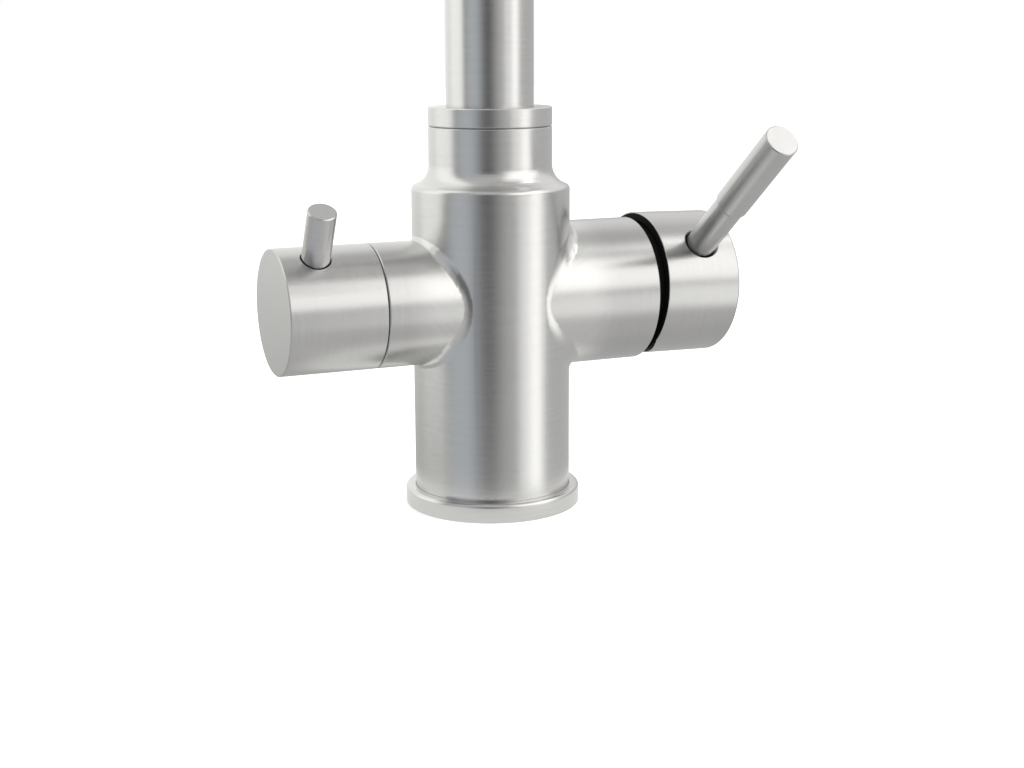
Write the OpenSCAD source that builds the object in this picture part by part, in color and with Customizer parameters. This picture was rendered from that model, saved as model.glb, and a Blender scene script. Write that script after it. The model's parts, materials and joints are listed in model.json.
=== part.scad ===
// Three way filtered water tap for a kitchen sink.
// Z is up, the deck is at z = 0 and the spout reaches towards -Y, the user's side.
// The filtered water handle is on the -X side, the hot and cold mixer on the +X side.
// All lengths are in millimetres and all angles in degrees.

/* [Base] */
// Diameter of the ring that stands on the deck
base_ring_d = 56.2; // [55:0.2:60]
// Height of the base ring
base_ring_h = 6.1; // [5:0.1:9]
// Rounding of the base ring's top edge
base_ring_edge_r = 1.2; // [0.4:0.1:1.4]

/* [Body] */
// Diameter of the body
body_d = 50; // [49.4:0.2:52]
// Height of the side handles' axis above the deck
cross_z = 67; // [65:0.5:69]
// Height at which the neck starts to widen into the shoulder
shoulder_z = 109.3; // [108:0.1:111]
// Radius of the hollow curve between neck and shoulder
shoulder_hollow_r = 6.5; // [6:0.1:7.5]
// Rounding of the shoulder's outer edge
shoulder_edge_r = 1.6; // [1:0.1:2]
// Diameter of the neck and of the spout collar
neck_d = 38.9; // [38.5:0.1:41]
// Height of the neck's top face
neck_z = 121.2; // [120:0.1:124]

/* [Filtered water side] */
// Diameter of the filter branch and its knob
filter_branch_d = 39; // [37:0.2:42]
// Reach of the filter branch from the body's axis
filter_reach = 40.9; // [40:0.1:43]
// Reach of the knob's end face from the body's axis
knob_reach = 71.6; // [70.5:0.1:76]
// Width of the seam between branch and knob
knob_seam = 0.2; // [0.15:0.05:0.4]
// Radius of the blend on top of and under the filter branch
filter_blend_r = 1.6; // [1:0.1:3]
// Radius of the blend at the sides of the filter branch
filter_side_blend_r = 7; // [5:0.5:9]
// Lean of the filter lever from upright towards the user
filter_lean = 28.85; // [10:0.05:45]
// Diameter of the filter lever
filter_lever_d = 8.8; // [8:0.1:9.4]
// Length of the filter lever from the handle's axis
filter_lever_len = 36.45; // [28:0.05:48]

/* [Mixer side] */
// Diameter of the mixer branch
mixer_branch_d = 46.4; // [45:0.2:48]
// Reach of the mixer branch from the body's axis
mixer_reach = 49; // [48:0.1:54]
// Height of the cartridge's axis above the branch's axis
mixer_rise = 1.3; // [0:0.1:1.4]
// Radius of the blend on top of and under the mixer branch
mixer_blend_r = 1; // [0.8:0.1:1.6]
// Radius of the blend at the sides of the mixer branch
mixer_side_blend_r = 12; // [8:0.5:16]
// Outer diameter of the mixer cap
cap_d = 46.8; // [46.4:0.2:50]
// Length of the mixer cap
cap_len = 26.85; // [26.5:0.05:32]
// Gap between branch and cap when the cap sits square
cap_gap = 2.3; // [2:0.1:3]
// Tilt at which the cap rests
cap_tilt = 2.3; // [0:0.1:3]
// Lean of the mixer lever from upright towards the user
mixer_lean = 50.05; // [20:0.05:60]
// Diameter of the mixer lever's rod
rod_d = 9.65; // [8.6:0.05:10]
// Diameter of the grip sleeve on the rod
sleeve_d = 10.8; // [10.4:0.1:14]
// Distance from the handle's axis to the start of the sleeve
sleeve_start = 44.8; // [35:0.1:55]
// Length of the mixer lever from the handle's axis
mixer_lever_len = 78.15; // [68:0.05:100]

/* [Spout] */
// Outer diameter of the spout tube
tube_d = 27.46; // [26.8:0.02:27.9]
// Wall of the spout tube
tube_wall = 1.2; // [0.9:0.1:1.4]
// Height of the spout collar's top face
collar_z = 127.2; // [126.5:0.1:131]
// Height at which the spout starts to bend
bend_z = 250; // [220:1:300]
// Radius of the spout's bend along its centre line
bend_r = 100; // [85:1:120]
// Height of the spout tube's open end
outlet_z = 222; // [215:1:240]

/* [Fits] */
// Radial gap between round pieces that turn in each other
running_gap = 0.06; // [0.03:0.01:0.09]
// Radial gap between pieces that are fixed in each other
seat_gap = 0.1; // [0.05:0.01:0.15]
// Gap along an axis between faces that slide over each other
face_gap = 0.05; // [0.03:0.01:0.1]

/* [Hidden] */
$fn = 96;

// Colours
steel = [0.74, 0.74, 0.73];
brass = [0.78, 0.62, 0.30];
ceramic = [0.93, 0.92, 0.88];
nylon_black = [0.06, 0.06, 0.06];
acetal = [0.86, 0.88, 0.90];
rubber = [0.12, 0.12, 0.13];

// How far a cut runs past the face that it opens
overrun = 1;
// Chamfer on turned edges that show
edge_chamfer = 0.3;
// Steps in the rounded part of an outline
arc_steps = 10;
// How far an O-ring stays below the rim of its groove
o_ring_inset = 0.07;

// Base ring: the body stands in its rebate and a seal lies in its groove
base_ring_r = base_ring_d / 2;
base_ring_floor = 3;
base_seal_r0 = 22.6;
base_seal_r1 = 25.8;
base_seal_h = 1.4;

// Body, with a bay for the inlet block below and a socket for the spout above
body_r = body_d / 2;
neck_r = neck_d / 2;
body_wall = 3.5;
bay_r = body_r - body_wall;
socket_wall = 3.77;
socket_r = neck_r - socket_wall;
socket_depth = 24.2;
socket_floor_z = neck_z - socket_depth;
fillet_root = 1.5;

// Inlet block with one port each for hot, cold and filtered water
inlet_block_r = bay_r - seat_gap;
inlet_block_h = 24;
port_pitch_r = 10.6;
hot_port_angle = 60;
cold_port_angle = -60;
filtered_port_angle = 180;
port_angles = [hot_port_angle, cold_port_angle, filtered_port_angle];
port_r = 4.5;
port_depth = 12;
stud_hole_r = 3.4;
stud_hole_depth = 16;
passage_r = 2.6;
cross_drill_step = 0.3;
inlet_seal_r = 0.9;
inlet_seal_ring_r = 4.2;
screw_pitch_r = 15.5;
screw_angles = [0, 120, 240];
screw_r = 1.95;
screw_len = 30;
screw_head_r = 3.3;
screw_head_h = 4;
screw_head_inset = 2;
screw_key_r = 1.7;
screw_key_depth = 2;

// Quarter turn cartridge of the filtered water side, measured outwards from the body's axis
filter_r = filter_branch_d / 2;
hex_recess = 6.9;
hex_r = 12.2;
hex_h = 4;
hex_flange_r = 12.7;
hex_flange_h = 2;
hex_bay_r = 13.2;
barrel_r = 10.4;
barrel_len = 17;
barrel_bore_r = 8.35;
barrel_bore_len = 9.8;
filter_neck_r = 7.2;
filter_neck_len = 8;
spindle_r = 4.2;
spindle_seal_r = 0.6;
spindle_flange_r = 7.6;
spindle_flange_h = 2.9;
spline_r = 3.9;
spline_grip = 0.3;
filter_disc_r = 8.2;
filter_disc_h = 3;
filter_turn_disc_r = 7.9;
filter_turn_disc_h = 3.5;
filter_slot_w = 4.4;
filter_slot_len = 14.4;
filter_slot_depth = 1.8;
filter_port_offset = 5;
filter_port_r = 2.2;
face_seal_h = 2;
face_seal_r = 10.2;
clip_h = 0.8;
clip_r = 6;
clip_groove_depth = 0.8;
hex_seal_r = 0.72;
hex_seal_ring_r = 11.5;
hex_seal_groove_w = 1.8;

hex_seat_u = filter_reach - hex_recess;
barrel_u = hex_seat_u - barrel_len;
filter_floor_u = barrel_u - face_seal_h;
filter_turn_disc_u = barrel_u + filter_disc_h + face_gap;
spindle_flange_u = filter_turn_disc_u + filter_turn_disc_h;
filter_neck_end_u = hex_seat_u + hex_h + filter_neck_len;
clip_u = filter_neck_end_u + face_gap + face_gap;

// Filter knob and its lever
knob_wall = 2.7;
knob_end_h = 5.6;
knob_hub_r = 8;
knob_hub_gap = 1.5;
filter_lever_setback = 11.1;
lever_tip_r = 3;
lever_hole_gap = 0.35;
filter_tip_reach = 4.2;
grub_r = 2;
grub_len = 4;
grub_key_r = 1.1;
grub_key_depth = 1.5;
grub_edge = 1;
spindle_step_u = clip_u + clip_h + clip_h;
knob_hub_u = spindle_step_u + knob_hub_gap;
filter_grub_u = knob_hub_u + grub_edge + grub_r;
spindle_end_u = filter_grub_u + grub_r + spline_grip;
filter_lever_u = knob_reach - filter_lever_setback;

// Mixer cartridge, measured outwards from the body's axis
mixer_r = mixer_branch_d / 2;
mixer_z = cross_z + mixer_rise;
nut_recess = 0.4;
nut_h = 6;
nut_r = 20;
housing_r = 17.5;
housing_bore_r = 15.5;
housing_len = 21.6;
housing_shoulder_h = 2;
housing_neck_r = 13.6;
housing_base_h = 5.4;
housing_base_lift = 0.1;
port_seal_r = 0.72;
port_seal_ring_r = 3.6;
port_seal_depth = 1.4;
hot_cold_offset = 5.6;
mixed_offset = 7;
mixed_r = 2.6;
mixed_setback = 5;
channel_depth = 2.5;
channel_w = 3;
channel_step = 0.4;
mixer_disc_h = 3;
mixer_disc_r = 15.3;
mixer_disc_port_r = 1.9;
mixer_slide_disc_r = 13.6;
mixing_pocket_r = 9.7;
mixing_pocket_depth = 2;

nut_face_x = mixer_reach - nut_recess;
shoulder_x = nut_face_x - nut_h;
housing_x = shoulder_x - housing_len;
mixer_floor_x = housing_x - housing_base_h - housing_base_lift;
mixer_pocket_r = housing_r + seat_gap;
mixed_x = mixer_floor_x - mixed_setback;
hot_cold_x = port_pitch_r * cos(hot_port_angle);
hot_cold_y = port_pitch_r * sin(hot_port_angle);
hot_cold_z = mixer_z + hot_cold_offset;
hot_cold_ring_r = norm([hot_cold_offset, hot_cold_y]);
hot_cold_turn = atan2(hot_cold_y, hot_cold_offset);

// Pieces that turn in the mixer cartridge, measured outwards from the lever's pivot
pivot_overhang = 3;
pivot_x = mixer_reach + pivot_overhang;
carrier_r = 11.9;
carrier_end = 5.2;
carrier_flange_r = 15.2;
carrier_flange_start = -21.8;
carrier_flange_top = -11.5;
neck_end = 4.6;
shroud_end = 4;
shroud_wall = 6.3;
tongue_w = 15.6;
tongue_len = 18;
tongue_start = -24;
tongue_end = -18;
tongue_gap = 0.3;
tongue_play = 3;
stem_w = 7;
stem_end = 19.5;
stem_slot_play = 1.8;
stem_ball_r = 3;
stem_arm = 20;
stem_shank_r = 2;
stem_shank_start = -13.5;
pin_r = 1.5;

// Mixer cap and its lever
cap_r = cap_d / 2;
cap_wall = 2.4;
cap_rim = cap_gap - pivot_overhang;
cap_end = cap_rim + cap_len;
cap_edge_r = 1;
cap_end_h = 6.6;
cap_hub_r = 9;
cap_hub_start = 7.5;
cap_relief_angle = 13;
cap_relief_start_share = 0.08;
cap_rim_chamfer = 0.12;
liner_lip = 0.4;
liner_len = 7.4;
liner_wall = 2.3;
rod_setback = 12.24;
rod_u = cap_end - rod_setback;
rod_r = rod_d / 2;
sleeve_r = sleeve_d / 2;
rod_tip_gap = 0.2;
rod_hole_gap = 0.36;
rod_hole_flare = 0.9;
rod_hole_flare_h = 1.1;
sleeve_bore_depth = 24;
sleeve_spigot_r = 3.6;
sleeve_shadow = 0.25;

// Spout collar, bush and the seals between spout and neck
tube_r = tube_d / 2;
tube_bore_r = tube_r - tube_wall;
collar_seam = 0.1;
glide_h = 0.75;
glide_w = 1.6;
glide_inset = 0.3;
bush_flange_r = 17.95;
bush_flange_h = 3;
bush_r = socket_r - running_gap;
bush_lift = 2.5;
bush_seat_h = 9;
bush_bore_r = 9.5;
spout_seal_r = 0.9;
spout_seal_lifts = [2.5, 6.5];
seal_groove_w = 2;
seal_groove_depth = 1.9;
grub_groove_depth = 0.95;
grub_groove_w = 5.6;
spout_grub_drop = 8.2;
spout_grub_r = 2.5;
spout_grub_inset = 0.4;
spout_grub_key_r = 1.4;
spout_grub_key_depth = 2;
tip_gap = 0.35;

bush_z = socket_floor_z + bush_lift;
bush_flange_z = neck_z + glide_h + face_gap;
spout_grub_z = neck_z - spout_grub_drop;
tube_start_z = bush_z + bush_seat_h;

// Filtered water tube inside the spout
inner_tube_r = 4;
inner_tube_wall = 0.8;
tip_seat_r = 5.6;
tip_seat_depth = 13;
tip_len = 12;
tip_bore_r = 2.5;
tip_socket_len = 5;
tip_seal_r = 0.6;
tip_seal_lifts = [1.8, 4.6];
tip_groove_w = 1.5;
tip_groove_depth = 1.3;
spacer_hub_r = 5.5;
spacer_r = 12.2;
spacer_len = 6;
spacer_fin_w = 1.6;
spacer_fins = 3;
spacer_z_share = 0.45;
spacer_bend_angles = [60, 130];
inner_bore_r = inner_tube_r - inner_tube_wall;
tip_seat_z = socket_floor_z - tip_seat_depth;
tip_z = tip_seat_z + running_gap + face_gap;
filtered_turn_z = cross_z + filter_port_offset;

// Outlet, measured from the spout tube's open end
fitting_r = tube_bore_r - seat_gap;
fitting_len = 14;
fitting_bore_r = 11;
fitting_bore_len = 7.6;
fitting_hub_r = 6;
fitting_windows = 3;
fitting_window_w = 4.4;
fitting_window_angle = 96;
aerator_h = 12;
aerator_seam = 0.3;
aerator_spigot_len = 6;
aerator_bore_r = 9.9;
aerator_lip_r = 9;
aerator_lip_h = 2.5;
gasket_w = 1.8;
gasket_h = 1.4;
insert_r = 9.8;
insert_h = 9.4;
insert_hole_r = 1.25;
insert_hole_pitch_r = 7;
insert_holes = 12;
screen_h = 0.6;
screen_hole_r = 0.55;
screen_rows = [5.4, 7, 8.6];
screen_row_holes = [12, 16, 20];
nozzle_r = 3.9;
nozzle_bore_r = 2.2;
nozzle_inset = 1;
nozzle_end = 7;
nozzle_spigot_len = 4;

// Helpers

// Points of an arc from angle a0 to angle a1
function arc(cx, cy, r, a0, a1) =
    [for (i = [0:arc_steps]) let (t = a0 + (a1 - a0) * i / arc_steps) [cx + r * cos(t), cy + r * sin(t)]];

// Turned ring about Z between two radii and two heights
module ring(r0, r1, z0, z1) {
    rotate_extrude()
        translate([r0, z0])
            square([r1 - r0, z1 - z0]);
}

// Turned bar about Z between two heights
module bar(r, z0, z1) {
    translate([0, 0, z0])
        cylinder(h = z1 - z0, r = r);
}

// O-ring about Z
module o_ring(ring_r, r, z) {
    translate([0, 0, z])
        rotate_extrude()
            translate([ring_r, 0])
                circle(r);
}

// Bar along local X between two distances from the local Z axis
module spoke(r, x0, x1, z) {
    translate([x0, 0, z])
        rotate([0, 90, 0])
            cylinder(h = x1 - x0, r = r);
}

// Box centred on local X and Y between two heights
module block(x, y, z0, z1) {
    translate([-x / 2, -y / 2, z0])
        cube([x, y, z1 - z0]);
}

// Frame of the filter side: local Z outwards, local X up
module filter_seat() {
    translate([0, 0, cross_z])
        rotate([0, -90, 0])
            children();
}

// Frame of the filter handle: local Z outwards, local X along its lever
module filter_handle() {
    translate([0, 0, cross_z])
        rotate([filter_lean, 0, 0])
            rotate([0, -90, 0])
                children();
}

// Frame of the mixer's fixed pieces: local Z outwards, local X down
module mixer_seat() {
    translate([0, 0, mixer_z])
        rotate([0, 90, 0])
            children();
}

// Frame of the mixer's turning pieces at a tilt: origin at the pivot, local X along the lever
module mixer_pivot(tilt) {
    translate([pivot_x, 0, mixer_z])
        rotate([180 + mixer_lean, 0, 0])
            rotate([0, 90, 0])
                rotate([0, -tilt, 0])
                    children();
}

// Maps the XY plane onto the spout's plane, with local X towards +Y and local Y up
module spout_plane() {
    translate([0, -bend_r, bend_z])
        rotate(a = 120, v = [1, 1, 1])
            children();
}

// Round bar along the spout's centre line from z0 over the bend and down to z1
module gooseneck(r, z0, z1) {
    bar(r, z0, bend_z);
    spout_plane()
        rotate_extrude(angle = 180)
            translate([bend_r, 0])
                circle(r);
    translate([0, -2 * bend_r, 0])
        bar(r, z1, bend_z);
}

// Places children at the outlet's axis, with z = 0 at the tube's open end
module at_outlet() {
    translate([0, -2 * bend_r, outlet_z])
        children();
}

// Base

module base_ring() {
    color(steel)
        difference() {
            rotate_extrude()
                polygon(concat(
                    [[bay_r, 0], [base_ring_r - edge_chamfer, 0], [base_ring_r, edge_chamfer]],
                    arc(base_ring_r - base_ring_edge_r, base_ring_h - base_ring_edge_r,
                        base_ring_edge_r, 0, 90),
                    [[body_r + seat_gap, base_ring_h], [body_r + seat_gap, base_ring_floor],
                        [bay_r, base_ring_floor]]));
            ring(base_seal_r0, base_seal_r1, -overrun, base_seal_h);
        }
}

module base_seal() {
    color(rubber)
        ring(base_seal_r0 + seat_gap, base_seal_r1 - seat_gap, 0, base_seal_h);
}

// Places children at each port of the inlet block
module at_ports() {
    for (a = port_angles)
        rotate([0, 0, a])
            translate([port_pitch_r, 0, 0])
                children();
}

// Places children at each screw of the inlet block
module at_screws() {
    for (a = screw_angles)
        rotate([0, 0, a])
            translate([screw_pitch_r, 0, 0])
                children();
}

module inlet_block() {
    color(brass)
        difference() {
            bar(inlet_block_r, 0, inlet_block_h);
            bar(stud_hole_r, -overrun, stud_hole_depth);
            at_ports() {
                bar(port_r, -overrun, port_depth);
                bar(passage_r, 0, inlet_block_h + overrun);
                bar(inlet_seal_ring_r + inlet_seal_r + seat_gap,
                    inlet_block_h - 2 * inlet_seal_r, inlet_block_h + overrun);
            }
            at_screws() {
                bar(screw_head_r + seat_gap, -overrun, screw_head_inset + screw_head_h);
                bar(screw_r + seat_gap, 0, inlet_block_h + overrun);
            }
        }
}

module inlet_seals() {
    color(rubber)
        at_ports()
            o_ring(inlet_seal_ring_r, inlet_seal_r - seat_gap / 2, inlet_block_h - inlet_seal_r);
}

module inlet_block_screws() {
    color(steel)
        at_screws()
            difference() {
                union() {
                    bar(screw_head_r, screw_head_inset, screw_head_inset + screw_head_h);
                    bar(screw_r, screw_head_inset, screw_head_inset + screw_len);
                }
                translate([0, 0, screw_head_inset - overrun])
                    cylinder(h = screw_key_depth + overrun, r = screw_key_r, $fn = 6);
            }
}

// Body

// Fillet, as of a rolling ball, where a side branch along +X leaves the body
module branch_fillet(branch_r, top_r, side_r) {
    around = 72;
    across = 6;
    sink = 0.1 * edge_chamfer;
    section = across + 2;
    points = [for (i = [0:around - 1])
        let (a = 360 * i / around,
            blend_r = top_r + (side_r - top_r) * pow(sin(a), 2),
            branch_off = branch_r + blend_r - sink,
            body_off = body_r + blend_r - sink,
            y = branch_off * sin(a),
            x = sqrt(body_off * body_off - y * y),
            centre = [x, y, branch_off * cos(a)],
            to_branch = [0, -sin(a), -cos(a)],
            to_body = [-x, -y, 0] / body_off,
            turn = acos(to_branch * to_body),
            bury = blend_r / cos(turn / 2) + fillet_root)
        for (j = [0:across + 1])
            j <= across
                ? centre + blend_r * (sin(turn * (1 - j / across)) * to_branch
                    + sin(turn * j / across) * to_body) / sin(turn)
                : centre + bury * (to_branch + to_body) / norm(to_branch + to_body)];
    faces = [for (i = [0:around - 1], k = [0:section - 1])
        let (next_i = (i + 1) % around, next_k = (k + 1) % section,
            a = i * section + k, b = i * section + next_k,
            c = next_i * section + next_k, d = next_i * section + k)
        each [[a, b, c], [a, c, d]]];
    polyhedron(points = points, faces = faces);
}

// Outline of the turned body, from the base up to the neck
module body_outline() {
    hollow_x = neck_r + shoulder_hollow_r;
    edge_x = body_r - shoulder_edge_r;
    span = shoulder_hollow_r + shoulder_edge_r;
    rise = sqrt(span * span - (hollow_x - edge_x) * (hollow_x - edge_x));
    lean = atan2(rise, hollow_x - edge_x);
    polygon(concat(
        [[0, base_ring_floor], [body_r, base_ring_floor]],
        arc(edge_x, shoulder_z - rise, shoulder_edge_r, 0, lean),
        arc(hollow_x, shoulder_z, shoulder_hollow_r, 180 + lean, 180),
        [[neck_r, neck_z - edge_chamfer], [neck_r - edge_chamfer, neck_z], [0, neck_z]]));
}

// Waterways drilled through the body
module body_waterways() {
    for (side = [-1, 1]) {
        translate([hot_cold_x, side * hot_cold_y, 0])
            bar(passage_r, inlet_block_h - overrun, hot_cold_z + passage_r);
        mixer_seat()
            translate([-hot_cold_offset, side * hot_cold_y, 0])
                bar(passage_r - cross_drill_step, hot_cold_x, mixer_floor_x + overrun);
    }
    translate([mixed_x, 0, 0])
        bar(mixed_r, mixer_z - mixed_offset - mixed_r, socket_floor_z + overrun);
    mixer_seat()
        translate([mixed_offset, 0, 0])
            bar(mixed_r - cross_drill_step, mixed_x, mixer_floor_x + overrun);
    translate([-port_pitch_r, 0, 0])
        bar(filter_port_r, inlet_block_h - overrun, cross_z - filter_port_offset + filter_port_r);
    filter_seat() {
        translate([-filter_port_offset, 0, 0])
            bar(filter_port_r - cross_drill_step, port_pitch_r, filter_floor_u + overrun);
        translate([filter_port_offset, 0, 0])
            bar(filter_port_r - cross_drill_step, 0, filter_floor_u + overrun);
    }
    bar(filter_port_r, filtered_turn_z - filter_port_r, tip_seat_z + overrun);
}

module body_shell() {
    color(steel)
        difference() {
            union() {
                rotate_extrude()
                    body_outline();
                filter_seat()
                    rotate_extrude()
                        polygon([[0, 0], [filter_r, 0], [filter_r, filter_reach - edge_chamfer],
                            [filter_r - edge_chamfer, filter_reach], [0, filter_reach]]);
                translate([0, 0, cross_z])
                    rotate([0, 90, 0])
                        rotate_extrude()
                            polygon([[0, 0], [mixer_r, 0], [mixer_r, mixer_reach - edge_chamfer],
                                [mixer_r - edge_chamfer, mixer_reach], [0, mixer_reach]]);
                translate([0, 0, cross_z]) {
                    branch_fillet(mixer_r, mixer_blend_r, mixer_side_blend_r);
                    mirror([1, 0, 0])
                        branch_fillet(filter_r, filter_blend_r, filter_side_blend_r);
                }
            }
            bar(bay_r, 0, inlet_block_h);
            at_screws()
                bar(screw_r, inlet_block_h - overrun, screw_head_inset + screw_len + overrun);
            bar(socket_r, socket_floor_z, neck_z + overrun);
            bar(tip_seat_r, tip_seat_z, socket_floor_z + overrun);
            filter_seat() {
                bar(barrel_r + seat_gap, filter_floor_u, filter_reach);
                bar(hex_bay_r, hex_seat_u, filter_reach + overrun);
            }
            mixer_seat() {
                bar(mixer_pocket_r, mixer_floor_x, mixer_reach);
                bar(nut_r, shoulder_x - seat_gap, mixer_reach + overrun);
            }
            body_waterways();
            translate([0, 0, spout_grub_z])
                rotate([-90, 0, 0])
                    bar(spout_grub_r, 0, neck_r + overrun);
        }
}

module spout_grub_screw() {
    color(steel)
        translate([0, 0, spout_grub_z])
            rotate([-90, 0, 0])
                difference() {
                    bar(spout_grub_r - face_gap,
                        bush_r - grub_groove_depth + tip_gap, neck_r - spout_grub_inset);
                    translate([0, 0, neck_r - spout_grub_inset - spout_grub_key_depth])
                        cylinder(h = spout_grub_key_depth + overrun, r = spout_grub_key_r, $fn = 6);
                }
}

module neck_glide_ring() {
    color(nylon_black)
        ring(bush_flange_r - glide_inset - glide_w, bush_flange_r - glide_inset, neck_z, neck_z + glide_h);
}

// Spout

module spout_tube() {
    color(steel)
        difference() {
            gooseneck(tube_r, tube_start_z, outlet_z);
            gooseneck(tube_bore_r, tube_start_z - overrun, outlet_z - overrun);
        }
}

module spout_collar() {
    color(steel)
        difference() {
            rotate_extrude()
                polygon([[0, neck_z + collar_seam], [neck_r - edge_chamfer, neck_z + collar_seam],
                    [neck_r, neck_z + collar_seam + edge_chamfer], [neck_r, collar_z - edge_chamfer],
                    [neck_r - edge_chamfer, collar_z], [0, collar_z]]);
            bar(tube_r + seat_gap, neck_z, collar_z + overrun);
            bar(bush_flange_r + seat_gap, neck_z, bush_flange_z + bush_flange_h);
        }
}

module spout_bush() {
    color(brass)
        difference() {
            union() {
                bar(bush_r, bush_z, bush_flange_z + bush_flange_h);
                bar(bush_flange_r, bush_flange_z, bush_flange_z + bush_flange_h);
            }
            bar(bush_bore_r, bush_z - overrun, bush_flange_z);
            bar(tube_r + face_gap, tube_start_z, bush_flange_z + bush_flange_h + overrun);
            for (lift = spout_seal_lifts)
                ring(bush_r - seal_groove_depth, bush_r + overrun,
                    bush_z + lift - seal_groove_w / 2, bush_z + lift + seal_groove_w / 2);
            ring(bush_r - grub_groove_depth, bush_r + overrun,
                spout_grub_z - grub_groove_w / 2, spout_grub_z + grub_groove_w / 2);
        }
}

module spout_o_rings() {
    color(rubber)
        for (lift = spout_seal_lifts)
            o_ring(bush_r - o_ring_inset - spout_seal_r, spout_seal_r, bush_z + lift);
}

module filtered_water_tube() {
    color(steel)
        difference() {
            gooseneck(inner_tube_r, tip_z + tip_len - tip_socket_len, outlet_z + nozzle_end);
            gooseneck(inner_bore_r, tip_z, outlet_z);
        }
}

module filtered_tube_tip() {
    color(brass)
        difference() {
            bar(tip_seat_r - running_gap, tip_z, tip_z + tip_len);
            bar(tip_bore_r, tip_z - overrun, tip_z + tip_len);
            bar(inner_tube_r + face_gap, tip_z + tip_len - tip_socket_len, tip_z + tip_len + overrun);
            for (lift = tip_seal_lifts)
                ring(tip_seat_r - tip_groove_depth - running_gap, tip_seat_r + overrun,
                    tip_z + lift - tip_groove_w / 2, tip_z + lift + tip_groove_w / 2);
        }
}

module filtered_tube_o_rings() {
    color(rubber)
        for (lift = tip_seal_lifts)
            o_ring(tip_seat_r - running_gap - o_ring_inset - tip_seal_r, tip_seal_r, tip_z + lift);
}

// Star that keeps the inner tube in the middle of the spout, centred on the local origin
module spacer() {
    difference() {
        union() {
            bar(spacer_hub_r, -spacer_len / 2, spacer_len / 2);
            for (i = [0:spacer_fins - 1])
                rotate([0, 0, 360 * i / spacer_fins])
                    translate([spacer_hub_r - seat_gap - spacer_fin_w, -spacer_fin_w / 2, -spacer_len / 2])
                        cube([spacer_r - spacer_hub_r + spacer_fin_w, spacer_fin_w, spacer_len]);
        }
        bar(inner_tube_r + seat_gap, -spacer_len, spacer_len);
    }
}

module filtered_tube_spacers() {
    color(acetal) {
        translate([0, 0, bush_flange_z + (bend_z - bush_flange_z) * spacer_z_share])
            spacer();
        for (a = spacer_bend_angles)
            spout_plane()
                rotate([0, 0, a])
                    translate([bend_r, 0, 0])
                        rotate([90, 0, 0])
                            spacer();
    }
}

module outlet_fitting() {
    color(brass)
        at_outlet()
            difference() {
                bar(fitting_r, 0, fitting_len);
                bar(fitting_bore_r, -overrun, fitting_bore_len);
                bar(inner_tube_r + seat_gap, 0, fitting_len + overrun);
                for (i = [0:fitting_windows - 1])
                    rotate([0, 0, 360 * i / fitting_windows])
                        rotate_extrude(angle = fitting_window_angle)
                            translate([fitting_hub_r, fitting_bore_len - overrun])
                                square([fitting_window_w, fitting_len - fitting_bore_len + 2 * overrun]);
            }
}

module aerator_gasket() {
    color(rubber)
        at_outlet()
            ring(fitting_bore_r - seat_gap - gasket_w, fitting_bore_r - seat_gap,
                aerator_spigot_len, aerator_spigot_len + gasket_h);
}

module aerator_housing() {
    color(steel)
        at_outlet()
            rotate_extrude()
                polygon([[aerator_lip_r, -aerator_h], [tube_r - edge_chamfer, -aerator_h],
                    [tube_r, edge_chamfer - aerator_h], [tube_r, -aerator_seam],
                    [fitting_bore_r - seat_gap, -aerator_seam],
                    [fitting_bore_r - seat_gap, aerator_spigot_len], [aerator_bore_r, aerator_spigot_len],
                    [aerator_bore_r, aerator_lip_h - aerator_h],
                    [aerator_lip_r, aerator_lip_h - aerator_h]]);
}

module aerator_insert() {
    color(acetal)
        at_outlet()
            difference() {
                bar(insert_r, aerator_lip_h - aerator_h, aerator_lip_h - aerator_h + insert_h);
                bar(nozzle_r + seat_gap, -aerator_h, overrun);
                for (i = [0:insert_holes - 1])
                    rotate([0, 0, 360 * i / insert_holes])
                        translate([insert_hole_pitch_r, 0, 0])
                            bar(insert_hole_r, -aerator_h, overrun);
            }
}

module aerator_screen() {
    base = aerator_lip_h - aerator_h + insert_h;
    color(steel)
        at_outlet()
            difference() {
                bar(insert_r, base, base + screen_h);
                bar(nozzle_r + seat_gap, base - overrun, base + screen_h + overrun);
                for (row = [0:len(screen_rows) - 1], i = [0:screen_row_holes[row] - 1])
                    rotate([0, 0, 360 * i / screen_row_holes[row]])
                        translate([screen_rows[row], 0, 0])
                            bar(screen_hole_r, base - overrun, base + screen_h + overrun);
            }
}

module filtered_nozzle() {
    color(acetal)
        at_outlet()
            difference() {
                union() {
                    bar(nozzle_r, nozzle_inset - aerator_h, nozzle_end);
                    bar(inner_bore_r - face_gap, nozzle_end, nozzle_end + nozzle_spigot_len);
                }
                bar(nozzle_bore_r, -aerator_h, nozzle_end + nozzle_spigot_len + overrun);
            }
}

// Filtered water valve

// Two ports of the quarter turn valve, one above the other
module filter_ports(z0, z1) {
    for (side = [-1, 1])
        translate([side * filter_port_offset, 0, 0])
            bar(filter_port_r, z0, z1);
}

module filter_face_seal() {
    color(rubber)
        filter_seat()
            difference() {
                bar(face_seal_r, filter_floor_u, barrel_u);
                filter_ports(filter_floor_u - overrun, barrel_u + overrun);
            }
}

module filter_disc_fixed() {
    color(ceramic)
        filter_seat()
            difference() {
                bar(filter_disc_r, barrel_u, barrel_u + filter_disc_h);
                filter_ports(barrel_u - overrun, barrel_u + filter_disc_h + overrun);
            }
}

module filter_disc_moving() {
    color(ceramic)
        filter_seat()
            difference() {
                bar(filter_turn_disc_r, filter_turn_disc_u, spindle_flange_u);
                block(filter_slot_w, filter_slot_len, filter_turn_disc_u - overrun,
                    filter_turn_disc_u + filter_slot_depth);
            }
}

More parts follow.
